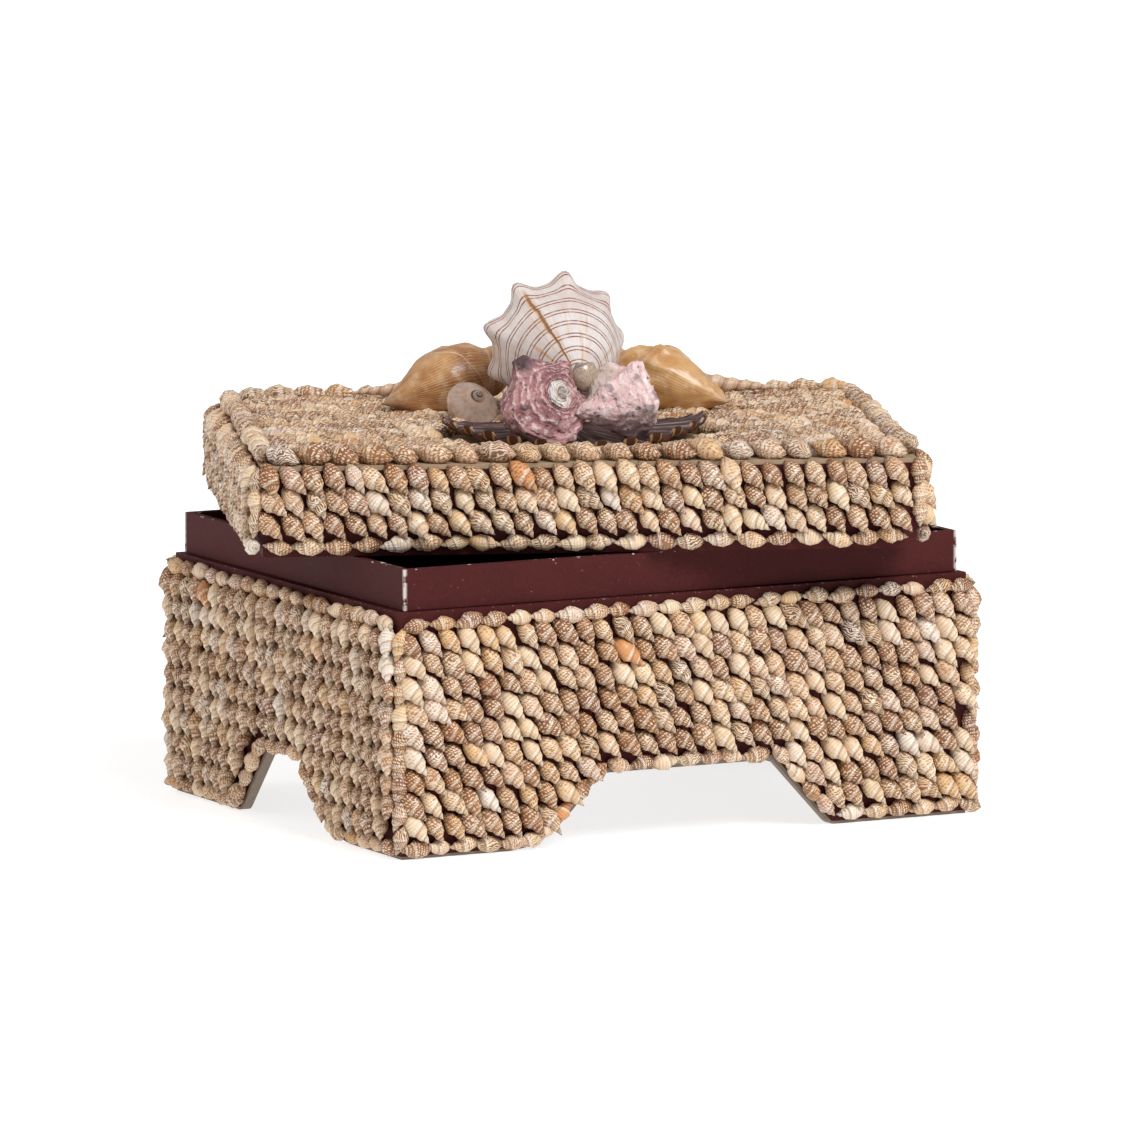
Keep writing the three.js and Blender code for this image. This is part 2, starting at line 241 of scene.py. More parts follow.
past_long = abs(x - CASE_MIDDLE.x) - long_arch
past_end = abs(y - CASE_MIDDLE.y) - end_arch
beside_arch = 1 - case_finish.math("MINIMUM", past_long, past_end).ease(BARE_EDGE, BARE_EDGE + RAGGED)
bare_edge = beside_arch * (1 - height.ease(BARE_TOP, BARE_TOP + RAGGED)) * (1 - inside)
rubbed = height.ease(CASE_HIGH.z - RUBBED_RIM, CASE_HIGH.z) * fleck.ease(0.6, 0.7) * (1 - inside)
color = case_finish.mix(rubbed * 0.6, paper_color, WORN)
raw = case_finish.math("MAXIMUM", raw, 1 - height.ease(BARE_FOOT, BARE_FOOT + RAGGED / 2))
raw = case_finish.math("MAXIMUM", raw, bare_edge)
case_finish.paint(case_finish.mix(raw, color, board_color), 0.5 + 0.2 * cloud)
case_finish.relief(grain, PAPER_GRAIN)
dress(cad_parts["case"], case_finish)


# ---------------------------------------- the collar
# An upright lip of the same board and paper, which keys the lid in place. The paper is rubbed through
# to its white core down the corners, and in flecks along the top edge.

COLLAR_LOW, COLLAR_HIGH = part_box("collar")
COLLAR_MIDDLE = (COLLAR_LOW + COLLAR_HIGH) / 2
COLLAR_HALF = (COLLAR_HIGH - COLLAR_LOW) / 2
PAPER_CORE = (0.62, 0.56, 0.54)
CORNER_RUB = (0.3 * MM, 1.7 * MM)  # how far in from a corner the rubbing is full, and how far it ends
TOP_RUB = (0.7 * MM, 0.1 * MM)  # how far below the top edge the rubbing begins, and how far it is full

collar_finish = Finish("red_paper_collar", **PAPER)
from_side_x, from_side_y, height = inset_depth(collar_finish, COLLAR_MIDDLE, COLLAR_HALF)
paper_color, grain, cloud, fleck = red_paper(collar_finish)
wander = collar_finish.noise(collar_finish.position(), 260.0, 3.0)
corner = 1 - (from_side_x + from_side_y).ease(*CORNER_RUB)
corner_wear = corner * wander.ease(0.38, 0.5)
top_edge = height.ease(COLLAR_HIGH.z - TOP_RUB[0], COLLAR_HIGH.z - TOP_RUB[1])
top_wear = top_edge * wander.ease(0.62, 0.7)
dust = fleck.ease(0.76, 0.8) * 0.5
wear = collar_finish.math("MAXIMUM", collar_finish.math("MAXIMUM", corner_wear, top_wear), dust)
collar_finish.paint(collar_finish.mix(wear, paper_color, PAPER_CORE), 0.5 + 0.2 * cloud)
collar_finish.relief(grain, PAPER_GRAIN)
dress(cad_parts["collar"], collar_finish)


# ---------------------------------------- the small shells
# Dog whelks, most of them 13 to 15 mm long, cream with brown flecks in bands that wind with the whorls.
# One is modelled, and each of the others is a copy of it with its own size, place, tone and markings.

LENGTH = 15.2 * MM
RADIUS = 3.95 * MM
FLATNESS = 0.9  # how thick a shell lies on the board, as a share of its width
SIDES = 8
SHRINK = 0.61  # each whorl is this much smaller than the one before
WHORLS = 4
WIDEST = 0.5  # where along its length a shell is widest
FULLNESS = 0.7  # the power that rounds its base, less round when higher
STEP = 0.5  # of a whorl, between two rings of points
GROOVE = 0.14  # how far the seam between two whorls is pinched in
FIRST_SEAM = 0.7  # the whorl at which the seam begins


def formed_grid(name, columns, rows, place):
    """A grid of points put in place by a formula of its column and row, each from 0 to 1."""
    bpy.ops.object.select_all(action="DESELECT")
    bpy.ops.mesh.primitive_grid_add(x_subdivisions=columns, y_subdivisions=rows, size=1.0)
    piece = bpy.context.object
    piece.name = piece.data.name = name
    flat = np.zeros(len(piece.data.vertices) * 3)
    piece.data.vertices.foreach_get("co", flat)
    flat = flat.reshape(-1, 3) + 0.5
    piece.data.vertices.foreach_set("co", place(flat[:, 0], flat[:, 1]).ravel())
    return piece


def wind(name, sides, rows, first, last, place):
    """A shell wound round its axis. The far edge of each turn meets the near edge one whorl further on,
    and both ends close. Its UV map holds the turn and the row."""

    def along_spiral(u, v):
        return place(u, first + v * (last - first))

    shell = formed_grid(name, sides, rows, along_spiral)
    layer = shell.data.uv_layers[0]
    layer.name = "whorls"
    uv = np.zeros(len(shell.data.loops) * 2)
    layer.data.foreach_get("uv", uv)
    uv[1::2] = first + uv[1::2] * (last - first)
    layer.data.foreach_set("uv", uv)
    bpy.ops.object.mode_set(mode="EDIT")
    bpy.ops.mesh.select_all(action="SELECT")
    bpy.ops.mesh.remove_doubles(threshold=1e-6)
    bpy.ops.mesh.dissolve_degenerate(threshold=1e-6)
    bpy.ops.mesh.normals_make_consistent(inside=False)
    bpy.ops.object.mode_set(mode="OBJECT")
    bpy.ops.object.shade_smooth()
    return shell


def left_to_go(t, shrink, whorls):
    """The share of a spiral still to come after t whorls, from 1 down to 0 at the apex."""
    end = shrink**whorls
    return np.clip((shrink ** np.maximum(t, 0) - end) / (1 - end), 0, 1)


def whelk_points(turn, row):
    t = row + turn
    x = 1 - left_to_go(t, SHRINK, WHORLS)
    base = np.clip(1 - (1 - x / WIDEST) ** 2, 0, 1) ** FULLNESS
    spire = 1 - np.clip((x - WIDEST) / (1 - WIDEST), 0, 1)
    pinch = 1 - GROOVE * np.cos(math.tau * row) * np.clip(t - FIRST_SEAM, 0, 1)
    radius = RADIUS * np.where(x < WIDEST, base, spire) * pinch
    angle = math.tau * turn - math.pi / 2
    return np.stack([LENGTH * (x - 0.5), radius * np.cos(angle), FLATNESS * radius * np.sin(angle)], 1)


whelk = wind("whelk", SIDES, round((WHORLS + 1) / STEP), -1, WHORLS, whelk_points)


SHELL_TONES = (  # the ground colours, and where each stands on the ramp
    (0.0, (0.80, 0.70, 0.60)),
    (0.25, (0.77, 0.575, 0.39)),
    (0.5, (0.80, 0.635, 0.44)),
    (0.74, (0.74, 0.49, 0.26)),
    (0.86, (0.70, 0.55, 0.45)),
    (0.96, (0.82, 0.55, 0.34)),
    (1.0, (0.68, 0.32, 0.13)),
)
LIGHT_MARK = (0.46, 0.19, 0.06)
DARK_MARK = (0.20, 0.065, 0.024)
WAVY_MARK = (0.075, 0.032, 0.026)
PALE_SHOULDER = (0.94, 0.86, 0.75)
BROWN_GROOVE = (0.34, 0.16, 0.07)
BROWN_WASH = (0.46, 0.24, 0.10)
BODY_END = 1.6  # the whorl at which the body ends and the spire begins
BODY_BANDS = 4.6  # bands of marks to a whorl
SPIRE_BANDS = 2.0
DASHES = 16.0  # marks round a whorl
FINE_RIBS = 14.0
WAVY_FROM = 0.70  # the kinds of mark: flecks, then wavy streaks from here
PLAIN_FROM = 0.82  # and faint bands alone from here


def whelk_finish(name):
    """Cream shell with brown marks. The copies' own values choose the ground colour, how strong the marks
    are, and whether they are flecks, wavy streaks or faint bands."""
    finish = Finish(name, roughness=0.4, coat_weight=0.08, coat_roughness=0.15, specular_ior_level=0.35)
    uv = finish.add("ShaderNodeUVMap", {"uv_map": "whorls"}, {}, "UV")
    turn, row, _ = finish.axes(uv)
    tone, marks, kind = [
        finish.add("ShaderNodeAttribute", {"attribute_name": own}, {}, "Fac")
        for own in ("tone", "marks", "kind")
    ]
    ramp = finish.tree.nodes.new("ShaderNodeValToRGB")
    while len(ramp.color_ramp.elements) < len(SHELL_TONES):
        ramp.color_ramp.elements.new(0.5)
    for element, (at, color) in zip(ramp.color_ramp.elements, SHELL_TONES):
        element.position = at
        element.color = (*color, 1.0)
    finish.feed(ramp.inputs[0], tone)
    ground = Signal(finish, ramp.outputs[0])
    t = row + turn
    on_body = finish.math("MINIMUM", t, BODY_END)
    on_spire = finish.math("MAXIMUM", t - BODY_END, 0.0)
    ring = on_body * BODY_BANDS + on_spire * SPIRE_BANDS
    bend = finish.noise(finish.position(), 270.0, 2.0) - 0.5
    bands = ((ring + bend * 0.8) * math.tau).sin()
    dashes = ((turn * DASHES + bend * 4.5 + ring * 0.5) * math.tau).sin()
    plain = kind.ease(PLAIN_FROM, PLAIN_FROM + 0.02)
    wavy = kind.ease(WAVY_FROM, WAVY_FROM + 0.02) * (1 - plain)
    flecked = (bands * 0.4 + dashes * 0.5 + bend * 1.6 + marks * 0.9).ease(0.48, 0.64)
    streaked = (dashes * 0.8 + bend * 1.5 + marks * 0.4).ease(0.1, 0.5)
    faint = (bands * 0.5 + bend).ease(0.1, 0.5) * 0.4
    drawn = (flecked * (1 - wavy) + streaked * wavy) * (1 - plain) + faint * plain
    dark = drawn * (0.7 + 0.3 * marks)
    seam = abs((row + 0.5) % 1.0 - 0.5)
    below_seam = abs((row + 0.72) % 1.0 - 0.5)
    shoulder = (1 - below_seam.ease(0.05, 0.2)) * t.ease(0.8, 1.2)
    brown = finish.mix((marks + tone * 0.4).ease(0.3, 1.1), LIGHT_MARK, DARK_MARK)
    brown = finish.mix(wavy * 0.6, brown, WAVY_MARK)
    ground = finish.mix(shoulder * 0.55, ground, PALE_SHOULDER)
    color = finish.mix(dark * (1 - 0.45 * shoulder) * 0.95, ground, brown)
    groove = (1 - seam.ease(0.02, 0.14)) * t.ease(0.9, 1.3)
    color = finish.mix(groove * 0.4, color, BROWN_GROOVE)
    wash = finish.noise(finish.position(), 130.0, 3.0)
    color = finish.mix(wash.ease(0.42, 0.75) * 0.4, color, BROWN_WASH)
    finish.paint(color, 0.3 + 0.3 * wash)
    ribs = (turn * (FINE_RIBS * math.tau)).sin() * (0.15 + 0.85 * t.ease(0.6, 1.3))
    finish.relief(ribs * 0.2 - groove, 0.3 * MM)
    return finish


dress(whelk, whelk_finish("small_shells"))
chance = random.Random(7)
UP = Vector((0, 0, 1))
BEDDED = 0.82  # the height of a shell's middle over the board, as a share of half its thickness


class Panel:
    """A flat face that shells are glued to. Its X and Y run along the face and Z stands off it."""

    def __init__(self, name, corner, along, up):
        self.name = name
        self.corner = corner
        self.along = along
        self.up = up
        self.out = along.cross(up)
        self.shells = []

    def lay(self, x, y, heading, size=1.0, tilt=0.0, lift=0.0, turned=0.0):
        """Glues a shell with its middle at x, y and its apex towards the heading, in millimetres and
        degrees. Tilt raises its apex end, and turned is the chance that it lies the other way round."""
        copy = whelk.copy()
        copy.data = whelk.data.copy()
        bpy.context.collection.objects.link(copy)
        size *= chance.uniform(0.9, 1.1)
        heading += chance.gauss(0, 7) + (180 if chance.random() < turned else 0)
        x += chance.gauss(0, 0.4)
        y += chance.gauss(0, 0.35)
        own = Matrix.Rotation(chance.gauss(0, 0.3), 4, "X") @ Matrix.Diagonal((size, size, size, 1))
        tip = Matrix.Rotation(math.radians(-tilt + chance.gauss(0, 5)), 4, "Y")
        turn = Matrix.Rotation(math.radians(heading), 4, "Z")
        depth = RADIUS * FLATNESS * BEDDED * size + lift * MM
        onto = Matrix.Translation(Vector((x * MM, y * MM, depth)))
        face = Matrix.Identity(4)
        for i, axis in enumerate((self.along, self.up, self.out)):
            for k in range(3):
                face[k][i] = axis[k]
        face.translation = self.corner
        copy.data.transform(face @ onto @ turn @ tip @ own)
        count = len(copy.data.vertices)
        drawn = {
            "tone": min(1.0, max(0.0, chance.gauss(0.42, 0.24))),
            "marks": min(1.0, max(0.0, chance.gauss(0.74, 0.27))),
            "kind": chance.random() * 0.97,
        }
        for name, value in drawn.items():
            layer = copy.data.attributes.new(name, "FLOAT", "POINT")
            layer.data.foreach_set("value", [value] * count)
        self.shells.append(copy)

    def join(self):
        """Makes the shells one piece that rides on the box and stands for the plain panel."""
        bpy.ops.object.select_all(action="DESELECT")
        for shell in self.shells:
            shell.select_set(True)
        bpy.context.view_layer.objects.active = self.shells[0]
        bpy.ops.object.join()
        piece = bpy.context.object
        piece.name = piece.data.name = self.name + "_whelks"
        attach(piece, "root")
        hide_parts(self.name)


# ---------------------------------------- the cladding of the case
# Each wall has a row of shells end to end under the rim, nine rows that lean over with their apexes
# down, single rows along the feet and round the arch, and a column down one corner. All are glued
# straight onto the paper.

RIM_ROW = 94.0 - 4.6
FOOT_ROW = 4.4
RIM_PITCH, FOOT_PITCH, ARCH_PITCH = 10.7, 10.4, 9.6  # from shell to shell along a row
EDGING_SIZE = 0.84
ARCH_SIZE = 0.86
ARCH_OFFSET = 3.1  # from the edge of an arch to the middle of the shells round it
ARCH_START = 8.0  # from the foot of an arch to the first of them
ARCH_CLEARANCE = 5.6  # from the edge of an arch to the nearest leaning shell
LEANING_ROWS = 9
TOP_ROW, BOTTOM_ROW = 82.3, 11.8
LEANING_PITCH = 8.2
LEANING_TILT = 25
LEANING_LIFT = 0.7
STAGGER = 0.25  # the share of its lean by which a row starts later than the one above
CORNER_SHELLS = 9
CORNER_TOP = 81.5
CORNER_PITCH = 9.2
CURVE_STEPS = 6


def arch_line(width, wall):
    """The edge of a wall's arch from its left foot to its right foot, in the panel's millimetres."""
    middle = width / 2
    foot, slope = arch_side(wall)
    head = ARCHES[wall]["top"] / 2
    line = []
    for side, rounding in zip((-1, 1), ARCHES[wall]["rounds"]):
        part = []
        for k in range(CURVE_STEPS + 1):
            s = k / CURVE_STEPS
            a = Vector((foot + rounding, 0))
            b = Vector((foot, 0))
            c = Vector((foot - slope * rounding, rounding))
            p = a * (1 - s) ** 2 + b * 2 * s * (1 - s) + c * s * s
            part.append(Vector((middle + side * p.x, p.y)))
        part.append(Vector((middle + side * head, ARCH_HEIGHT)))
        line += part if side < 0 else part[::-1]
    return line


def distance_to_line(point, line):
    best = 1e9
    for a, b in zip(line, line[1:]):
        along = b - a
        s = max(0.0, min(1.0, (point - a).dot(along) / max(along.length_squared, 1e-9)))
        best = min(best, (point - a - along * s).length)
    return best


def in_arch(point, line):
    """Whether a point lies under the arch's line."""
    for a, b in zip(line, line[1:]):
        if a.x <= point.x <= b.x and b.x > a.x:
            if point.y < a.y + (b.y - a.y) * (point.x - a.x) / (b.x - a.x):
                return True
    return False


def follow(panel, line, pitch, inward=0.0, size=1.0, first=None):
    """Lays shells end to end along a line, set off to its left by inward and begun at first."""
    carried = first or pitch / 2
    for a, b in zip(line, line[1:]):
        step = b - a
        if step.length < 1e-6:
            continue
        away = Vector((-step.y, step.x)).normalized()
        while carried <= step.length:
            p = a + step * (carried / step.length) + away * inward
            heading = math.degrees(math.atan2(-step.y, -step.x))
            panel.lay(p.x, p.y, heading, size, turned=0.15)
            carried += pitch
        carried -= step.length


def row_between(panel, start, end, height, pitch, size):
    follow(panel, [Vector((start, height)), Vector((end, height))], pitch, size=size)


def case_panel(name, corner, along, width, heading, lean, proud=0):
    """Clads one wall from its lower left corner on. Lean shifts each leaning row along, and proud is added
    to the tilt of its shells, in degrees."""
    panel = Panel(f"base_{name}_shells", corner, along, UP)
    arch = arch_line(width, name)
    row_between(panel, 0, width, RIM_ROW, RIM_PITCH, EDGING_SIZE)
    row_between(panel, -1.5, arch[0].x + 3, FOOT_ROW, FOOT_PITCH, EDGING_SIZE)
    follow(panel, arch, ARCH_PITCH, ARCH_OFFSET, ARCH_SIZE, ARCH_START)
    row_between(panel, arch[-1].x + 1, width + 1, FOOT_ROW, FOOT_PITCH, EDGING_SIZE)
    for k in range(CORNER_SHELLS):
        panel.lay(width + 1.2, CORNER_TOP - CORNER_PITCH * k, -88, 0.9, tilt=16, lift=-1.4)
    for k in range(LEANING_ROWS):
        y = TOP_ROW + (BOTTOM_ROW - TOP_ROW) * k / (LEANING_ROWS - 1)
        x = 2.6 + (k * lean) % LEANING_PITCH * STAGGER
        while x < width - 2.0:
            point = Vector((x, y))
            if not in_arch(point, arch) and distance_to_line(point, arch) > ARCH_CLEARANCE:
                panel.lay(x, y, heading, tilt=LEANING_TILT + proud, lift=LEANING_LIFT - 0.1 * proud)
            x += LEANING_PITCH
    panel.join()


WIDTH = round((CASE_HIGH.x - CASE_LOW.x) / MM, 1)
DEPTH = round((CASE_HIGH.y - CASE_LOW.y) / MM, 1)
X = Vector((1, 0, 0))
Y = Vector((0, 1, 0))
LONG_WALL = {"width": WIDTH, "heading": -54, "lean": 4.9}
END_WALL = {"width": DEPTH, "heading": -55, "lean": 3.0, "proud": -5}
case_panel("front", Vector((CASE_LOW.x, CASE_LOW.y, 0)), X, **LONG_WALL)
case_panel("right", Vector((CASE_HIGH.x, CASE_LOW.y, 0)), Y, **END_WALL)
case_panel("back", Vector((CASE_HIGH.x, CASE_HIGH.y, 0)), -X, **LONG_WALL)
case_panel("left", Vector((CASE_LOW.x, CASE_HIGH.y, 0)), -Y, **END_WALL)


# ---------------------------------------- the lid
# A shallow board tray turned upside down and laid askew on the collar. Its sides and inside have the
# same red paper, and tan paper covers its top and the arris round it.

LID_TURN = math.radians(-21.6)
TRAY_LOW, TRAY_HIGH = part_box("lid_tray")
LID_MIDDLE = (TRAY_LOW + TRAY_HIGH) / 2
LID_WIDTH = 250.0
LID_DEPTH = 196.0
LID_HEIGHT = round((TRAY_HIGH.z - TRAY_LOW.z) / MM, 1)
LID_X = Vector((math.cos(LID_TURN), math.sin(LID_TURN), 0))
LID_Y = Vector((-math.sin(LID_TURN), math.cos(LID_TURN), 0))


def on_lid(x, y, z):
    """A point of the lid, in millimetres from its middle and its lower edge, in the frame."""
    flat = LID_X * (x * MM) + LID_Y * (y * MM)
    return Vector((LID_MIDDLE.x, LID_MIDDLE.y, TRAY_LOW.z + z * MM)) + flat


BINDING = 1.9 * MM  # how far the tan paper comes down the sides, with a soft edge of 0.3 mm
TAN = (0.46, 0.34, 0.23)
DARK_TAN = (0.33, 0.23, 0.15)

lid_finish = Finish("red_paper_lid", **PAPER)
paper_color, grain, cloud, fleck = red_paper(lid_finish)
height = lid_finish.axes(lid_finish.position())[2]
bound = height.ease(TRAY_HIGH.z - BINDING, TRAY_HIGH.z - BINDING + 0.3 * MM)
tan = lid_finish.mix(lid_finish.noise(lid_finish.position(), 300.0), DARK_TAN, TAN)
lid_finish.paint(lid_finish.mix(bound, paper_color, tan), 0.55 + 0.15 * cloud)
lid_finish.relief(grain, PAPER_GRAIN)
dress(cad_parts["lid_tray"], lid_finish)


# ---------------------------------------- the cladding of the lid
# Three leaning rows over a row of edging on each side. The top has a bolder row along its front and
# back, a row along each end, and a field of shells packed close between them and round the scallop.

LID_EDGING = {"height": 4.6, "pitch": 11.2, "size": 0.88}
LID_ROWS = (29.2, 20.8, 12.4)
LID_PITCH = 8.0
LID_CORNER_SHELLS = 3
LID_CORNER_TOP = 29.0
LID_CORNER_PITCH = 7.8


def lid_side(name, corner, along, width, heading, lean, proud=0.0):
    """Clads one side of the lid from its lower left corner on. Lean shifts each leaning row along, and the
    shells stand proud of the tray, in millimetres."""
    panel = Panel(f"lid_{name}_shells", corner, along, UP)
    panel.corner = panel.corner + panel.out * (proud * MM)
    row_between(panel, 0, width, **LID_EDGING)
    for k in range(LID_CORNER_SHELLS):
        panel.lay(width + 1.0, LID_CORNER_TOP - LID_CORNER_PITCH * k, -88, 0.84, tilt=12, lift=-1.2)
    for k, y in enumerate(LID_ROWS):
        x = 2.8 + (k * lean) % LID_PITCH * STAGGER
        while x < width - 2.0:
            panel.lay(x, y, heading, tilt=LEANING_TILT, lift=LEANING_LIFT)
            x += LID_PITCH
    panel.join()


half_width, half_depth = LID_WIDTH / 2, LID_DEPTH / 2
lid_side("front", on_lid(-half_width, -half_depth, 0), LID_X, LID_WIDTH, -54, 4.4)
lid_side("right", on_lid(half_width, -half_depth, 0), LID_Y, LID_DEPTH, -62, 3.0)
lid_side("back", on_lid(half_width, half_depth, 0), -LID_X, LID_WIDTH, -54, 4.4)
lid_side("left", on_lid(-half_width, half_depth, 0), -LID_Y, LID_DEPTH, -62, 3.0, 1.4)

BOLD = {"size": 1.24, "tilt": 9}
BOLD_INSET, BOLD_START, BOLD_PITCH = 5.8, 7.0, 11.6
END = {"size": 1.12, "tilt": 6}
END_START, END_PITCH = 14.0, 11.8
FIELD = {"heading": 150, "size": 0.95, "tilt": 14, "lift": -0.9}
FIELD_ROWS = 24
FIELD_MARGIN = 12.0
FIELD_START, FIELD_SHIFT, FIELD_PITCH = 8.5, 4.7, 9.2
HINGE_Y = 11  # the scallop's hinge and middle, from the middle of the lid, and the size of its fan
VALVE_X = 1
VALVE_LENGTH = 90
VALVE_WIDTH = 1.03
FAN_POWER = 0.7


def beside_fan(x, y):
    """Whether a place on the top, from its front left corner, is clear of the scallop's fan."""
    across = (x - LID_WIDTH / 2 - VALVE_X) / VALVE_WIDTH
    down = LID_DEPTH / 2 + HINGE_Y - y
    swing = abs(math.atan2(across, down))
    fan = VALVE_LENGTH * math.cos(swing) ** FAN_POWER if swing < math.radians(80) else 0
    return math.hypot(across, down) > fan + 1.6 + 1.5 * math.sin(swing)


top = Panel("lid_top_shells", on_lid(-half_width, -half_depth, LID_HEIGHT), LID_X, LID_Y)
x = BOLD_START
while x < LID_WIDTH - 2:
    top.lay(x, BOLD_INSET, 138, **BOLD)
    top.lay(LID_WIDTH - x, LID_DEPTH - BOLD_INSET, -42, **BOLD)
    x += BOLD_PITCH
y = END_START
while y < LID_DEPTH - 8:
    top.lay(1.6, y, -92, **END)
    top.lay(LID_WIDTH - 2.4, y, -88, **END)
    y += END_PITCH
for k in range(FIELD_ROWS):
    y = FIELD_MARGIN + (LID_DEPTH - 2 * FIELD_MARGIN) * k / (FIELD_ROWS - 1)
    x = FIELD_START + (k * FIELD_SHIFT) % FIELD_PITCH
    while x < LID_WIDTH - 7:
        if beside_fan(x, y):
            top.lay(x, y, **FIELD)
        x += FIELD_PITCH
top.join()
bpy.data.objects.remove(whelk)


# ---------------------------------------- the striped conch
# The largest shell, glued on its side in the middle of the lid with its siphon end to the front. White
# with paired brown lines round it, and nine blunt knobs on its shoulder.


def wound_shell(node, tip, apex, radius, body, swell, whorls, shrink, groove, mesh, relief=None, taper=1.0):
    """A larger shell in the place of a CAD node, from its tip to its apex in the lid's millimetres. Body is
    the share of its length up to the shoulder, and relief scales the radius by turn, whorl and row."""
    start, end = on_lid(*tip), on_lid(*apex)
    axis = end - start
    length = axis.length
    axis.normalize()
    up = (UP - axis * UP.dot(axis)).normalized()
    side = axis.cross(up)
    start, axis, up, side = (np.array(v) for v in (start, axis, up, side))

    def place(turn, row):
        t = row + turn
        left = left_to_go(t - 1, shrink, whorls)
        p = np.clip(t, 0, 1)
        along = length * np.where(t < 1, body * p, body + (1 - body) * (1 - left))
        r = radius * MM * np.where(t < 1, np.sin(p * math.pi / 2) ** swell, left**taper)
        r = r * (1 + groove * np.cos(math.tau * row) * np.clip(t - 0.8, 0, 1))
        if relief is not None:
            r = r * (1 + relief(turn, t, row))
        angle = math.tau * turn - math.pi / 2
        spread = np.outer(r * np.cos(angle), side) + np.outer(r * np.sin(angle), up)
        return start + np.outer(along, axis) + spread

    sides, rows = mesh
    shell = wind(node + "_shell", sides, rows, -1, whorls + 1, place)
    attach(shell, "root")
    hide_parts(node)
    return shell


def whorl_uv(finish):
    turn, row, _ = finish.axes(finish.add("ShaderNodeUVMap", {"uv_map": "whorls"}, {}, "UV"))
    return turn, row, turn + row


KNOBS = 9
KNOB_START = (85 + 90) / 360  # the turn at which the highest knob stands


def conch_knobs(turn, t, row):
    """Blunt knobs on the shoulder, each of its own height, and lower ones that follow the spire."""
    wave = (0.5 + 0.5 * np.cos(math.tau * KNOBS * (turn - KNOB_START))) ** 2.0
    own = 0.78 + 0.42 * np.cos(math.tau * (turn - 0.6)) + 0.08 * np.sin(math.tau * (2 * turn + 0.1))
    on_body = 0.17 * own * wave * np.exp(-(((t - 0.97) / 0.17) ** 2))
    on_spire = 0.16 * wave * np.clip(t - 1.5, 0, 1) * np.maximum(0, np.cos(math.tau * row)) ** 2
    return on_body + on_spire - 0.02 * (1 - wave) * np.exp(-(((t - 0.9) / 0.3) ** 2))


conch = wound_shell(
    "striped_conch", tip=(4.6, -20, 56.5), apex=(-5.0, 53, 72.5), radius=25.4, body=0.6, swell=0.8,
    whorls=4, shrink=0.56, groove=0.05, mesh=(128, 150), relief=conch_knobs, taper=0.9,
)
WHITE = (0.75, 0.70, 0.68)
CLOUDED_WHITE = (0.60, 0.51, 0.47)
GROWTH_LINE = (0.50, 0.38, 0.33)
RUST = (0.60, 0.31, 0.15)
LINE_BROWN = (0.24, 0.055, 0.018)
SCAR_BROWN = (0.26, 0.09, 0.025)
SCAR_HALO = (0.62, 0.36, 0.12)
SPIRE_TAN = (0.52, 0.30, 0.22)
LINE_PAIRS = 9.0  # to the first whorl
SCAR_TURN = 0.59
finish = Finish("striped_conch", roughness=0.4, coat_weight=0.15, coat_roughness=0.3)
turn, row, t = whorl_uv(finish)
place = finish.position()
cloud = finish.noise(place, 55.0, 4.0)
fine = finish.noise(place, 500.0, 3.0)
ground = finish.mix(cloud.ease(0.35, 0.7), WHITE, CLOUDED_WHITE)
growth = finish.noise(finish.vector(turn * 260.0, t * 3.0), 1.0, 2.0)
ground = finish.mix(growth.ease(0.45, 0.75) * 0.35, ground, GROWTH_LINE)
near_siphon = 1 - t.ease(0.25, 0.75)
rust = finish.noise(finish.vector(turn * 40.0, t * 2.0), 1.0, 2.0).ease(0.5, 0.7)
ground = finish.mix(rust * (0.12 + 0.7 * near_siphon), ground, RUST)
phase = (finish.math("POWER", t, 0.8) * LINE_PAIRS + cloud * 0.15 - 0.1) % 1.0
pair = finish.math("MINIMUM", abs(phase - 0.36), abs(phase - 0.62))
lines = (1 - pair.ease(0.025, 0.065)) * (0.6 + 0.4 * fine.ease(0.35, 0.55))
color = finish.mix(lines, ground, LINE_BROWN)
off_scar = turn - SCAR_TURN - (cloud - 0.5) * 0.05
scar_length = t.ease(0.06, 0.12) * (1 - t.ease(0.75, 0.9))
scar = (1 - abs(off_scar + (fine - 0.5) * 0.006).ease(0.002, 0.007)) * scar_length
halo = (1 - abs(off_scar).ease(0.004, 0.018)) * fine.ease(0.3, 0.5) * scar_length
color = finish.mix(halo * 0.5, color, SCAR_HALO)
color = finish.mix(scar * 0.9, color, SCAR_BROWN)
color = finish.mix(t.ease(1.02, 1.2) * 0.4, color, SPIRE_TAN)
finish.paint(color, 0.3 + 0.25 * cloud)
finish.relief(growth * 0.4 + fine * 0.3 - scar * 1.2 - lines * 0.3, 0.35 * MM)
dress(conch, finish)


# ---------------------------------------- the golden conches
# Two smooth golden brown conches, glued on their sides behind the striped one with their siphon ends
# out to the left and the right. Growth lines run along them, and a pale line follows each whorl's seam.


def golden_folds(turn, t, row):
    fold = 0.02 * np.sin(math.tau * (3 * turn + 0.4 * t)) + 0.012 * np.sin(math.tau * 7 * turn + 2.0)
    return fold * np.clip(t * 3, 0, 1)


def golden_knobs(turn, t, row):
    wave = (0.5 + 0.5 * np.cos(math.tau * KNOBS * (turn - 0.09))) ** 1.4
    on_body = 0.14 * wave * np.exp(-(((t - 1.0) / 0.2) ** 2))
    on_spire = 0.14 * wave * np.clip(t - 1.2, 0, 1) * np.maximum(0, np.cos(math.tau * row)) ** 2
    return on_body + on_spire + golden_folds(turn, t, row)


NO_LIP = 9.0  # past the end of the spiral
PALE_SEAM = (0.78, 0.66, 0.55)
PALE_TIP = (0.70, 0.50, 0.33)


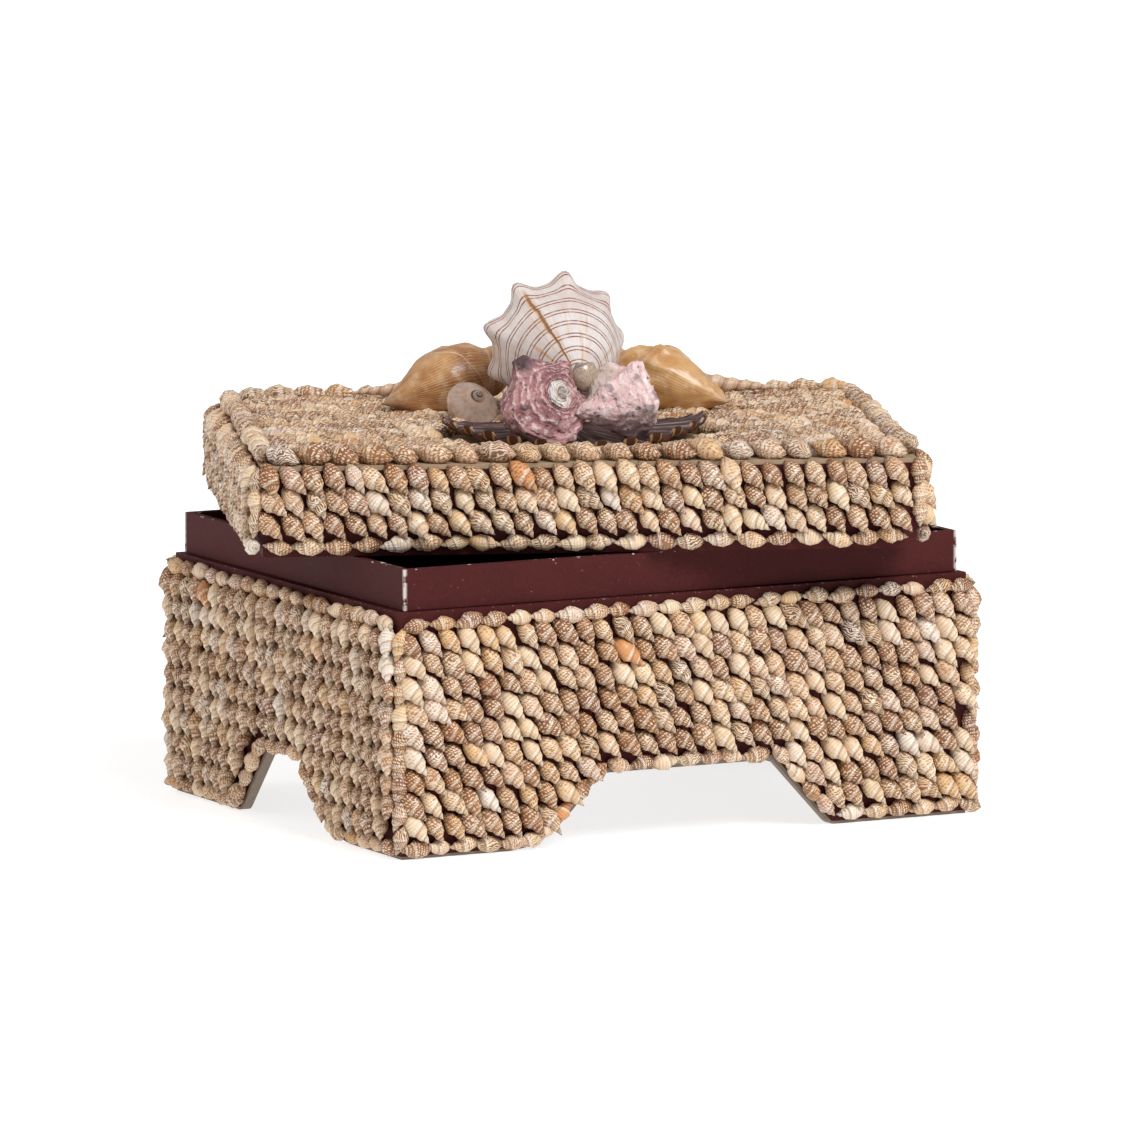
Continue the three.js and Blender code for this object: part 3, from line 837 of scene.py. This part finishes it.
def golden_finish(name, ground, deep, pale, lip_at, hairs):
    """Golden brown shell with growth lines as strong as hairs, and the pale edge of its lip at lip_at."""
    finish = Finish(name, roughness=0.35, coat_weight=0.22, coat_roughness=0.2)
    turn, row, t = whorl_uv(finish)
    place = finish.position()
    cloud = finish.noise(place, 70.0, 4.0)
    streak = finish.noise(finish.vector(turn * 16.0, t * 3.0), 1.0, 3.0)
    mottle = finish.noise(place, 160.0, 4.0, 0.6)
    hair = (turn * (64.0 * math.tau) + t * 6.0 + cloud * 14.0).sin().ease(0.45, 1.0)
    color = finish.mix((streak + cloud).ease(0.75, 1.2), deep, ground)
    color = finish.mix(mottle.ease(0.5, 0.68) * 0.6, color, pale)
    color = finish.mix(hair * mottle.ease(0.35, 0.55) * hairs, color, pale)
    whorl_seam = (1 - abs((row % 1.0) - 0.5).ease(0.015, 0.05)) * t.ease(1.0, 1.2)
    lip = 1 - abs(t + turn * 1.9 - lip_at + mottle * 0.06).ease(0.004, 0.02)
    lip = lip * turn.ease(0.2, 0.3) * (1 - turn.ease(0.52, 0.58))
    seam = finish.math("MAXIMUM", whorl_seam * 0.6, lip)
    color = finish.mix(seam * 0.6, color, PALE_SEAM)
    tip = 1 - t.ease(0.0, 0.22)
    color = finish.mix(tip * 0.6, color, PALE_TIP)
    finish.paint(color, 0.22 + 0.25 * cloud)
    finish.relief(streak * 0.3 + hair * hairs * 0.4 + seam * 0.5, 0.3 * MM)
    return finish


def crust(shell, name, size, depth, smooth):
    """Roughens a shell with lumps of the given size and depth, less where it is smooth round its apex."""
    rough = shell.vertex_groups.get("rough") or shell.vertex_groups.new(name="rough")
    apex = shell.data.vertices[len(shell.data.vertices) - 1].co
    for vertex in shell.data.vertices:
        far = (vertex.co - apex).length / (smooth * MM)
        rough.add([vertex.index], min(1.0, 0.15 + max(0.0, far - 1.0)), "REPLACE")
    lumps = bpy.data.textures.new(name, "CLOUDS")
    lumps.noise_scale = size * MM
    lumps.noise_depth = 3
    modifier = shell.modifiers.new(name, "DISPLACE")
    modifier.texture = lumps
    modifier.strength = depth * MM
    modifier.mid_level = 0.5
    modifier.vertex_group = "rough"
    bpy.ops.object.select_all(action="DESELECT")
    bpy.context.view_layer.objects.active = shell
    shell.select_set(True)
    bpy.ops.object.modifier_apply(modifier=name)


golden_left = wound_shell(
    "golden_conch_left", tip=(-68, 34, 41.5), apex=(-2, 62, 58), radius=14.6, body=0.46, swell=1.2,
    whorls=4, shrink=0.74, groove=0.07, mesh=(72, 96), relief=golden_folds, taper=0.85,
)
crust(golden_left, "dents_left", size=9.0, depth=2.0, smooth=1.0)
left_tones = {"ground": (0.50, 0.25, 0.085), "deep": (0.33, 0.125, 0.035), "pale": (0.66, 0.45, 0.26)}
dress(golden_left, golden_finish("golden_left", **left_tones, lip_at=1.78, hairs=0.75))
golden_right = wound_shell(
    "golden_conch_right", tip=(68, 24, 41.5), apex=(8, 58, 59), radius=13.0, body=0.46, swell=1.05,
    whorls=4, shrink=0.72, groove=0.08, mesh=(72, 96), relief=golden_knobs,
)
crust(golden_right, "dents_right", size=8.0, depth=3.0, smooth=1.0)
right_tones = {"ground": (0.64, 0.37, 0.145), "deep": (0.50, 0.24, 0.075), "pale": (0.76, 0.56, 0.36)}
dress(golden_right, golden_finish("golden_right", **right_tones, lip_at=NO_LIP, hairs=0.3))


# ---------------------------------------- the pink murexes
# Two rugged rock shells in front of the conch, crusted pink, with frilled ridges round them that rise to
# thorns. The left one turns its white spiral apex and a dark thorn to the front, and the right one lies
# across it with a taupe flap beside its mouth.

LIP_TURN = 0.58
HORN_TURN = 0.38


def thorns(count, start, height, ridges, lean, lip=0.0):
    """Frilled ridges round a shell, which rise to thorns along a few of its lines of growth. The shell
    bulges by lean to one side, and its mouth has a raised lip."""

    def relief(turn, t, row):
        own = 0.5 + 0.7 * np.cos(math.tau * (turn - start)) + 0.25 * np.sin(math.tau * (3 * turn + 0.2))
        own = np.maximum(0.15, own)
        wave = own * (0.5 + 0.5 * np.cos(math.tau * count * (turn - start))) ** 2.5
        shoulder = np.exp(-(((t - 0.95) / 0.2) ** 2))
        spire = np.clip(t - 1.2, 0, 1) * np.maximum(0, np.cos(math.tau * row)) ** 2
        frill = np.abs(np.sin(math.pi * ridges * t)) ** 0.7
        body = np.clip(t * 3, 0, 1) * np.clip(1.5 - t, 0, 1)
        swell = lean * np.cos(math.tau * (turn - start + 0.25)) * np.clip(1.8 - t, 0, 1)
        edge = np.exp(-(((turn - LIP_TURN) / 0.045) ** 2)) - 0.6 * np.exp(-(((turn - 0.5) / 0.03) ** 2))
        swell = swell + lip * edge * np.exp(-(((t - 0.6) / 0.26) ** 2))
        ridged = 0.05 * frill * body + 0.08 * wave * frill * body
        return height * wave * (shoulder + 0.7 * spire) + ridged + swell

    return relief


PIT = (0.07, 0.035, 0.05)
STAIN = (0.06, 0.035, 0.05)
HORN = (0.05, 0.03, 0.035)
TAUPE_FLAP = (0.50, 0.40, 0.34)
WORN_APEX = (0.82, 0.75, 0.70)
APEX_LINE = (0.42, 0.22, 0.14)


def murex_finish(name, ground, deep, pale, apex):
    """Crusted pink shell. Apex is 1 for the one that shows its worn apex and a dark thorn, and 0 for the
    one that shows a taupe flap."""
    finish = Finish(name, roughness=0.75)
    turn, row, t = whorl_uv(finish)
    place = finish.position()
    cloud = finish.noise(place, 90.0, 5.0, 0.65)
    speck = finish.noise(place, 420.0, 4.0, 0.7)
    ridge = abs((t * math.tau * 3.0 + cloud * 9.0).sin())
    color = finish.mix(cloud.ease(0.38, 0.62), deep, ground)
    color = finish.mix(ridge.ease(0.75, 1.0) * speck.ease(0.4, 0.6) * 0.6, color, pale)
    color = finish.mix(speck.ease(0.55, 0.68) * 0.55, color, pale)
    pits = 1 - finish.cells(place, 330.0).ease(0.12, 0.3)
    color = finish.mix(pits * cloud.ease(0.4, 0.6) * 0.75, color, PIT)
    stain = finish.noise(place, 120.0, 2.0).ease(0.6, 0.68)
    color = finish.mix(stain * 0.6, color, STAIN)
    horn = (1 - abs(turn - HORN_TURN).ease(0.01, 0.05)) * t.ease(0.75, 0.85) * (1 - t.ease(1.1, 1.3)) * apex
    color = finish.mix(horn * 0.9, color, HORN)
    flap = (1 - abs(turn - LIP_TURN).ease(0.06, 0.13)) * (1 - t.ease(0.7, 0.9)) * (1 - apex)
    color = finish.mix(flap * 0.85, color, TAUPE_FLAP)
    worn = t.ease(1.95, 2.1) * apex
    whorl_line = 1 - abs((row % 1.0) - 0.5).ease(0.05, 0.16)
    color = finish.mix(worn * 0.9, color, WORN_APEX)
    color = finish.mix(worn * whorl_line * 0.75, color, APEX_LINE)
    finish.paint(color, 0.6 + 0.3 * speck)
    finish.relief(ridge * 0.6 + speck * 0.8 - pits * 0.5, 0.8 * MM)
    return finish


murex_left = wound_shell(
    "pink_murex_left", tip=(-19.5, -31, 45.5), apex=(-6.0, -57.5, 57.2), radius=15.2, body=0.82, swell=0.6,
    whorls=3, shrink=0.42, groove=0.1, mesh=(110, 120),
    relief=thorns(count=5, start=HORN_TURN, height=0.3, ridges=2, lean=0.42),
)
crust(murex_left, "lumps_left", size=10.0, depth=8.0, smooth=5.0)
crust(murex_left, "crust_left", size=3.0, depth=2.2, smooth=5.0)
left_tones = {"ground": (0.50, 0.25, 0.25), "deep": (0.25, 0.10, 0.11), "pale": (0.84, 0.69, 0.66)}
dress(murex_left, murex_finish("murex_left", **left_tones, apex=1.0))
murex_right = wound_shell(
    "pink_murex_right", tip=(-1.5, -56, 48), apex=(32, -38, 53.5), radius=13.0, body=0.74, swell=1.15,
    whorls=3, shrink=0.45, groove=0.1, mesh=(110, 120),
    relief=thorns(count=5, start=0.42, height=0.26, ridges=3, lean=0.06, lip=0.5),
)
crust(murex_right, "lumps_right", size=9.0, depth=4.0, smooth=1.0)
crust(murex_right, "crust_right", size=3.0, depth=2.4, smooth=1.0)
right_tones = {"ground": (0.84, 0.62, 0.605), "deep": (0.68, 0.44, 0.435), "pale": (0.93, 0.84, 0.81)}
dress(murex_right, murex_finish("murex_right", **right_tones, apex=0.0))


# ---------------------------------------- the moon snail and the grey cone
# Two small glossy shells that fill the gaps. The moon snail is round and grey with a dark eye at its
# apex, and the cone is wedged between the conch and the murexes with its wide end up.

moon = wound_shell(
    "moon_snail", tip=(-37, 15, 39), apex=(-32.5, 3, 49.5), radius=10.4, body=0.5, swell=0.55,
    whorls=4, shrink=0.5, groove=0.03, mesh=(56, 70),
)
finish = Finish("moon_snail", roughness=0.2, coat_weight=0.6, coat_roughness=0.08)
turn, row, t = whorl_uv(finish)
cloud = finish.noise(finish.position(), 120.0, 3.0)
streak = finish.noise(finish.vector(turn * 30.0, t * 3.0), 1.0, 3.0)
color = finish.mix(streak.ease(0.3, 0.7), (0.31, 0.20, 0.145), (0.42, 0.29, 0.22))
color = finish.mix(cloud.ease(0.5, 0.75) * 0.5, color, (0.46, 0.38, 0.32))
halo = t.ease(2.0, 2.3)
color = finish.mix(halo * 0.7, color, (0.46, 0.30, 0.21))
whorl_line = 1 - abs((row % 1.0) - 0.5).ease(0.1, 0.25)
color = finish.mix(t.ease(2.5, 2.7) * (0.35 + 0.65 * whorl_line), color, (0.03, 0.03, 0.045))
finish.paint(color, 0.15 + 0.15 * cloud)
finish.relief(streak, 0.08 * MM)
dress(moon, finish)

cone = wound_shell(
    "grey_cone", tip=(6.0, -46, 56), apex=(0.4, -41, 65.4), radius=6.1, body=0.72, swell=0.42,
    whorls=3, shrink=0.5, groove=0.05, mesh=(48, 60),
)
finish = Finish("grey_cone", roughness=0.18, coat_weight=0.5, coat_roughness=0.08)
turn, row, t = whorl_uv(finish)
cloud = finish.noise(finish.position(), 160.0, 3.0)
hair = finish.noise(finish.vector(turn * 60.0, t * 6.0), 1.0, 3.0)
color = finish.mix(hair.ease(0.35, 0.65), (0.31, 0.22, 0.155), (0.46, 0.36, 0.27))
seam = 1 - abs(turn - 0.42).ease(0.004, 0.02)
color = finish.mix(seam * 0.6, color, (0.60, 0.55, 0.48))
color = finish.mix(t.ease(0.97, 1.06), color, (0.10, 0.09, 0.11))
finish.paint(color, 0.15 + 0.2 * cloud)
finish.relief(hair, 0.08 * MM)
dress(cone, finish)


# ---------------------------------------- the screw shells
# Two slender tower shells behind the group, end to end along the back of the lid with their apexes out.
# Each has many rounded whorls, tan with paler bands.


def fine_ribs(turn, t, row):
    return 0.02 * np.cos(math.tau * 12 * turn) * np.clip(t, 0, 1)


def screw_finish(name, ground, band):
    finish = Finish(name, roughness=0.4, coat_weight=0.2, coat_roughness=0.2)
    turn, row, t = whorl_uv(finish)
    cloud = finish.noise(finish.position(), 130.0, 3.0)
    cords = (row * (3.0 * math.tau)).sin()
    low = abs((row % 1.0) - 0.5)
    color = finish.mix(low.ease(0.05, 0.35), band, ground)
    color = finish.mix(cords.ease(0.3, 0.9) * 0.15, color, (0.78, 0.66, 0.55))
    streak = finish.noise(finish.vector(turn * 20.0, t * 1.5), 1.0, 2.0)
    color = finish.mix(streak.ease(0.5, 0.7) * 0.4, color, (0.45, 0.26, 0.15))
    color = finish.mix((1 - low.ease(0.01, 0.06)) * 0.6, color, (0.24, 0.13, 0.08))
    finish.paint(color, 0.3 + 0.25 * cloud)
    finish.relief(cords * 0.6 + streak * 0.4, 0.2 * MM)
    return finish


for node, tip, apex, radius in (
    ("screw_shell_left", (-32, 76, 44), (-78, 80, 40.5), 4.8),
    ("screw_shell_right", (42, 72, 45.5), (94, 78, 40.5), 5.4),
):
    screw = wound_shell(
        node, tip, apex, radius, body=0.12, swell=0.6,
        whorls=8, shrink=0.86, groove=0.11, mesh=(28, 120), relief=fine_ribs, taper=0.85,
    )
    dress(screw, screw_finish(node, (0.66, 0.47, 0.33), (0.46, 0.27, 0.17)))


# ---------------------------------------- the scallop
# One valve of a large scallop, laid hollow side up under the group. It is dark brown inside with pale
# lines between its ribs, and its fluted margin shows the golden brown outside, with a painted highlight
# in light brown along the top edge of the flutes.

RIBS = 21
SPREAD = math.radians(78)
VALVE_FLOOR = 39.0 - 3.4  # the height of its middle over the lid's lower edge
VALVE_THICKNESS = 1.0
CUP = 6.2  # how much higher it is 50 mm out to a side, and how flat it is at the back
BACK_FLATNESS = 0.7
BACK_RISE = 0.8
CURL_FROM = 0.93  # the share of its reach at which the rim begins to turn up, and by how much
CURL_HEIGHT = 2.9
CURL_DRAW = 0.045
RIB_SHARPNESS = 2.0


def valve_points(u, v):
    angle = SPREAD * (2 * u - 1)
    curl = np.clip((v - CURL_FROM) / (1 - CURL_FROM), 0, 1) * np.clip(1.4 * np.cos(angle) - 0.3, 0, 1)
    rib = np.tanh(RIB_SHARPNESS * np.cos(math.tau * RIBS * u)) / np.tanh(RIB_SHARPNESS)
    reach = VALVE_LENGTH * np.cos(angle) ** FAN_POWER * (v - CURL_DRAW * curl**1.6) + rib * curl
    x = VALVE_X + VALVE_WIDTH * np.sin(angle) * reach
    y = HINGE_Y - np.cos(angle) * reach
    back = np.clip((y + 22) / 28, 0, 1)
    height = VALVE_FLOOR + CUP * (x / 50) ** 2 * (1 - BACK_FLATNESS * back) + BACK_RISE * back
    flute = rib * np.clip(1.3 * np.cos(angle), 0.2, 1)
    height = height + flute * (0.15 + 0.85 * v**1.5) * (0.8 + 0.6 * curl) + CURL_HEIGHT * curl**1.4
    spots = np.stack([x, y, height], 1) * MM
    turned = np.outer(spots[:, 0], np.array(LID_X)) + np.outer(spots[:, 1], np.array(LID_Y))
    return turned + np.outer(spots[:, 2], np.array(UP)) + np.array(on_lid(0, 0, 0))


valve = formed_grid("scallop_valve", RIBS * 10, 45, valve_points)
valve.data.uv_layers[0].name = "ribs"
bpy.ops.object.mode_set(mode="EDIT")
bpy.ops.mesh.select_all(action="SELECT")
bpy.ops.mesh.remove_doubles(threshold=1e-6)
bpy.ops.mesh.dissolve_degenerate(threshold=1e-6)
bpy.ops.mesh.normals_make_consistent(inside=False)
bpy.ops.object.mode_set(mode="OBJECT")
wall = valve.modifiers.new("wall", "SOLIDIFY")
wall.thickness = VALVE_THICKNESS * MM
wall.offset = 0
bpy.ops.object.modifier_apply(modifier="wall")
bpy.ops.object.shade_smooth_by_angle(angle=math.radians(50))
finish = Finish("scallop_valve", roughness=0.5, specular_ior_level=0.2)
uv = finish.add("ShaderNodeUVMap", {"uv_map": "ribs"}, {}, "UV")
across, reach, _ = finish.axes(uv)
cloud = finish.noise(finish.position(), 80.0, 4.0)
rib = ((across * float(RIBS)) * math.tau + math.pi / 2).sin()
hair = finish.noise(finish.vector(across * 230.0, reach * 3.0), 1.0, 3.0)
ring = finish.noise(finish.vector(across * 3.0, reach * 60.0), 1.0, 2.0)
color = finish.mix(cloud.ease(0.35, 0.65), (0.030, 0.011, 0.011), (0.062, 0.027, 0.027))
pale_lines = (1 - abs(rib).ease(0.12, 0.5)) * hair.ease(0.35, 0.6)
color = finish.mix(pale_lines * 0.7, color, (0.42, 0.34, 0.33))
color = finish.mix(ring.ease(0.6, 0.75) * 0.3, color, (0.05, 0.02, 0.02))
facing = finish.axes(finish.add("ShaderNodeNewGeometry", {}, {}, "Normal"))[2]
outside = 1 - facing.ease(0.0, 0.25)
flank = 1 - abs(rib - 0.3).ease(0.1, 0.35)
golden = finish.mix(flank, (0.11, 0.042, 0.024), (0.48, 0.27, 0.11))
color = finish.mix(outside, color, golden)
# painted highlight: light brown along the inner top edge of the fluted rim
lip = reach.ease(0.985, 0.995) * (1 - outside) * flank
color = finish.mix(lip * 0.8, color, (0.42, 0.24, 0.13))
finish.paint(color, 0.3 + 0.25 * cloud)
finish.relief(hair * 0.6 + ring * 0.4, 0.25 * MM)
dress(valve, finish)
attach(valve, "root")
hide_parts("scallop")


# ---------------------------------------- the camera, the floor and the light
# A long lens looks a little down on the front and the left side of the box, which stands on a plain pale
# floor. A wide soft key light comes from above the front, with a warm rim from the back left.

CAMERA_PLACE = (-2.1355, -4.0935, 0.721)
LENS = 381.6
YAW, PITCH, ROLL = math.radians(27.57), math.radians(7.76), math.radians(0.08)

camera = bpy.data.objects.new("camera", bpy.data.cameras.new("camera"))
bpy.context.collection.objects.link(camera)
camera.data.lens = LENS
camera.data.clip_end = 50
camera.location = CAMERA_PLACE
camera.rotation_euler = (math.pi / 2 - PITCH, ROLL, -YAW)
bpy.context.scene.camera = camera

FLOOR_GREY = (0.4, 0.4, 0.4, 1.0)
FLOOR_GLOW = 0.76  # keeps the floor as pale as a lit studio sweep
WHITE_LIGHT = (1.0, 1.0, 1.0)

bpy.ops.mesh.primitive_plane_add(size=30, location=(0, 0, 0))
floor = bpy.context.object
floor.name = "floor"
glow = {"emission_color": (*WHITE_LIGHT, 1.0), "emission_strength": FLOOR_GLOW}
dress(floor, Finish("floor", roughness=0.6, base_color=FLOOR_GREY, **glow))


def add_sun(name, energy, spread, direction, color=WHITE_LIGHT):
    """A distant light of the given spread in degrees, which shines in the given direction."""
    sun = bpy.data.objects.new(name, bpy.data.lights.new(name, "SUN"))
    bpy.context.collection.objects.link(sun)
    sun.data.energy = energy
    sun.data.angle = math.radians(spread)
    sun.data.color = color
    sun.rotation_euler = Vector(direction).to_track_quat("-Z", "Y").to_euler()


add_sun("key", 2.55, 28, (-0.15, 0.80, -0.88))
add_sun("rim", 0.72, 50, (0.7, -0.62, -0.5), (1.0, 0.91, 0.82))

WORLD_LIGHT = 0.41
world = bpy.data.worlds.new("world")
bpy.context.scene.world = world
world.use_nodes = True
background = world.node_tree.nodes["Background"]
background.inputs["Color"].default_value = (*WHITE_LIGHT, 1.0)
background.inputs["Strength"].default_value = WORLD_LIGHT
bpy.context.scene.view_settings.view_transform = "Standard"
